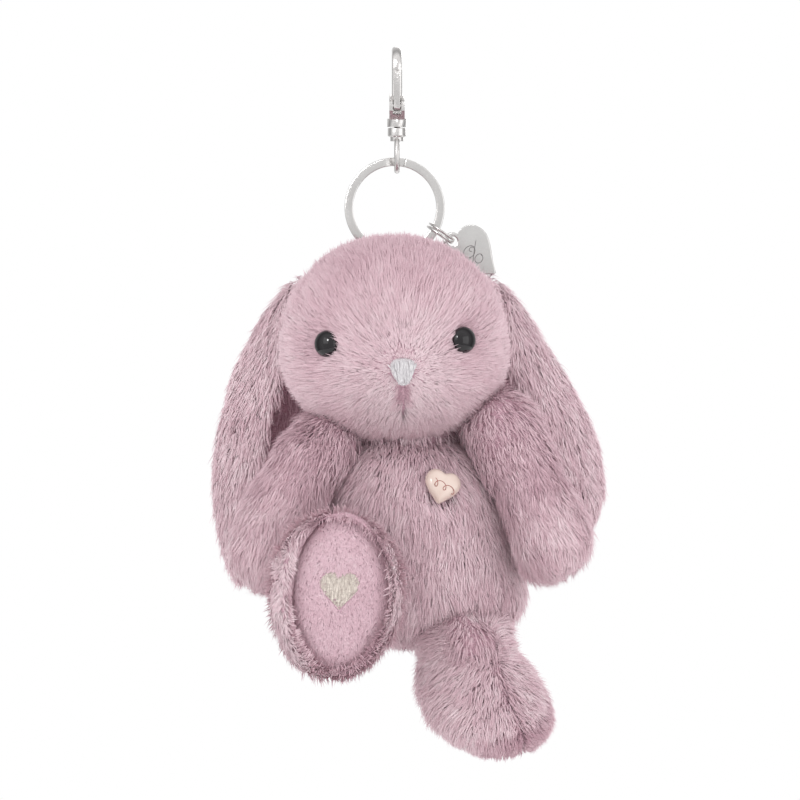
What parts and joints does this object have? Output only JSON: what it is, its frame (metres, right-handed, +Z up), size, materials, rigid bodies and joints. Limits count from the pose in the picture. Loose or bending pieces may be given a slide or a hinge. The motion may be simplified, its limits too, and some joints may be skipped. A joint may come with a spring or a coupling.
{
  "type": "plush keychain",
  "caption": "Stuffed lop-eared rabbit with jointed limbs, hung on a split ring with a swivel trigger hook and a heart charm.",
  "frame": {"origin": "inner top of the hook's bow, the point that bears on what the keychain hangs from", "axes": "+Z up; -Y is the way the rabbit looks; +X to the right as its face is seen"},
  "size_m": [0.1161, 0.0955, 0.2127],
  "materials": {
    "nickel_plate": "bright nickel plate, lightly worn",
    "spring_steel": "bright wire",
    "tape": "woven polyester tape",
    "plush": "dusty rose pile, 6 to 8 mm",
    "short_plush": "dusty rose pile, 1 to 2 mm",
    "filling": "loose polyester fibre",
    "black_eye": "polished",
    "white_plastic": "as moulded",
    "silver_thread": "satin stitch, rayon sheen",
    "champagne_thread": "fill stitch, rayon sheen",
    "pearl_plastic": "pearl"
  },
  "bodies": {
    "hook": {"hook_body": "nickel_plate", "gate_pin": "nickel_plate", "gate_spring": "spring_steel"},
    "gate": {"hook_gate": "nickel_plate"},
    "swivel": {"swivel_eye": "nickel_plate"},
    "ring": {"key_ring": "nickel_plate"},
    "charm_ring": {"charm_ring": "nickel_plate"},
    "charm": {"heart_charm": "nickel_plate"},
    "head": {"hang_loop": "tape", "head_cover": "plush", "head_stuffing": "filling", "eye_left": "black_eye", "eye_right": "black_eye", "eye_washer_left": "white_plastic", "eye_washer_right": "white_plastic", "nose_embroidery": "silver_thread"},
    "torso": {"body_cover": "plush", "body_stuffing": "filling", "heart_button": "pearl_plastic", "tail_cover": "plush", "tail_stuffing": "filling"},
    "ear_left": {"ear_left_outer": "plush", "ear_left_lining": "short_plush"},
    "ear_right": {"ear_right_outer": "plush", "ear_right_lining": "short_plush"},
    "arm_left": {"arm_left_cover": "plush", "arm_left_stuffing": "filling"},
    "arm_right": {"arm_right_cover": "plush", "arm_right_stuffing": "filling"},
    "leg_left": {"leg_left_cover": "plush", "leg_left_stuffing": "filling", "sole_left": "short_plush", "sole_heart_left": "champagne_thread"},
    "leg_right": {"leg_right_cover": "plush", "leg_right_stuffing": "filling", "sole_right": "short_plush", "sole_heart_right": "champagne_thread"}
  },
  "joints": [
    {"name": "gate_hinge", "type": "hinge", "parent": "hook", "child": "gate", "pos_m": [0, -0.004, -0.016], "axis": [-1, 0, 0], "range_deg": [0, 25], "stiffness_Nm_per_rad": 0.004, "springref_deg": -28.65, "deforming": ["gate_spring"]},
    {"name": "swivel_turn", "type": "hinge", "parent": "hook", "child": "swivel", "pos_m": [0, 0, -0.0224], "axis": [0, 0, 1], "continuous": true},
    {"name": "ring_swing", "type": "hinge", "parent": "swivel", "child": "ring", "pos_m": [0, 0, -0.0355], "axis": [0, 1, 0], "range_deg": [-45, 45]},
    {"name": "charm_ring_swing", "type": "hinge", "parent": "ring", "child": "charm_ring", "pos_m": [0.01153, 0, -0.05311], "axis": [0.4695, 0, 0.8829], "range_deg": [-10, 60]},
    {"name": "charm_swing", "type": "hinge", "parent": "charm_ring", "child": "charm", "pos_m": [0.01678, 0, -0.0568], "axis": [0, 1, 0], "range_deg": [-25, 3]},
    {"name": "plush_swing", "type": "hinge", "parent": "ring", "child": "head", "pos_m": [-0.0007, 0, -0.06046], "axis": [1, 0, 0], "range_deg": [-14, 14]},
    {"name": "neck", "type": "hinge", "parent": "head", "child": "torso", "pos_m": [0.0024, -0.0175, -0.11694], "axis": [1, 0, 0], "range_deg": [-8, 8], "stiffness_Nm_per_rad": 0.15},
    {"name": "ear_left_root", "type": "hinge", "parent": "head", "child": "ear_left", "pos_m": [-0.02747, -0.00301, -0.06853], "axis": [0, 1, 0], "range_deg": [0, 35], "stiffness_Nm_per_rad": 0.02},
    {"name": "ear_right_root", "type": "hinge", "parent": "head", "child": "ear_right", "pos_m": [0.02587, -0.00301, -0.06853], "axis": [0, -1, 0], "range_deg": [0, 35], "stiffness_Nm_per_rad": 0.02},
    {"name": "shoulder_left", "type": "hinge", "parent": "torso", "child": "arm_left", "pos_m": [-0.02737, -0.02939, -0.12308], "axis": [0, 1, 0], "range_deg": [0, 50], "stiffness_Nm_per_rad": 0.02},
    {"name": "shoulder_right", "type": "hinge", "parent": "torso", "child": "arm_right", "pos_m": [0.03688, -0.02856, -0.12564], "axis": [0, -1, 0], "range_deg": [0, 50], "stiffness_Nm_per_rad": 0.02},
    {"name": "hip_left", "type": "hinge", "parent": "torso", "child": "leg_left", "pos_m": [-0.01559, -0.04425, -0.16268], "axis": [1, 0, 0], "range_deg": [-5, 35], "stiffness_Nm_per_rad": 0.02},
    {"name": "hip_right", "type": "hinge", "parent": "torso", "child": "leg_right", "pos_m": [0.02309, -0.03581, -0.18135], "axis": [-1, 0, 0], "range_deg": [-5, 40], "stiffness_Nm_per_rad": 0.02}
  ]
}
